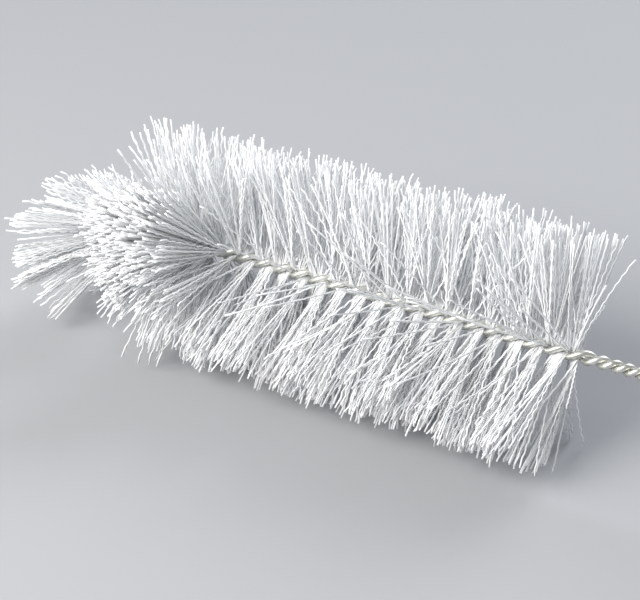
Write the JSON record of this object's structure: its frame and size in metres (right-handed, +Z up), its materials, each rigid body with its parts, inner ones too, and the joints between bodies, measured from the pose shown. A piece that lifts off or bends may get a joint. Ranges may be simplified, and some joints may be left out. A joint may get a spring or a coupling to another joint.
{
  "type": "bottle brush",
  "caption": "Bottle brush: white nylon filaments gripped in a left-hand twisted galvanised wire, with a splayed tip tuft, a bare twisted stem and a hanging eye.",
  "frame": {"origin": "on the table, under the middle of the brush's whole length", "axes": "+X along the brush's axis from the tip tuft to the hanging eye, +Z up from the table"},
  "size_m": [0.3067, 0.06, 0.0588],
  "materials": {
    "galvanised_wire": "satin",
    "white_nylon": "satin"
  },
  "bodies": {
    "root": {"core_wire": "galvanised_wire", "tip_tuft": "white_nylon", "bristle_row_01": "white_nylon", "bristle_row_02": "white_nylon", "bristle_row_03": "white_nylon", "bristle_row_04": "white_nylon", "bristle_row_05": "white_nylon", "bristle_row_06": "white_nylon", "bristle_row_07": "white_nylon", "bristle_row_08": "white_nylon", "bristle_row_09": "white_nylon", "bristle_row_10": "white_nylon", "bristle_row_11": "white_nylon", "bristle_row_12": "white_nylon", "bristle_row_13": "white_nylon", "bristle_row_14": "white_nylon", "bristle_row_15": "white_nylon", "bristle_row_16": "white_nylon", "bristle_row_17": "white_nylon", "bristle_row_18": "white_nylon", "bristle_row_19": "white_nylon", "bristle_row_20": "white_nylon", "bristle_row_21": "white_nylon", "bristle_row_22": "white_nylon"}
  },
  "joints": []
}
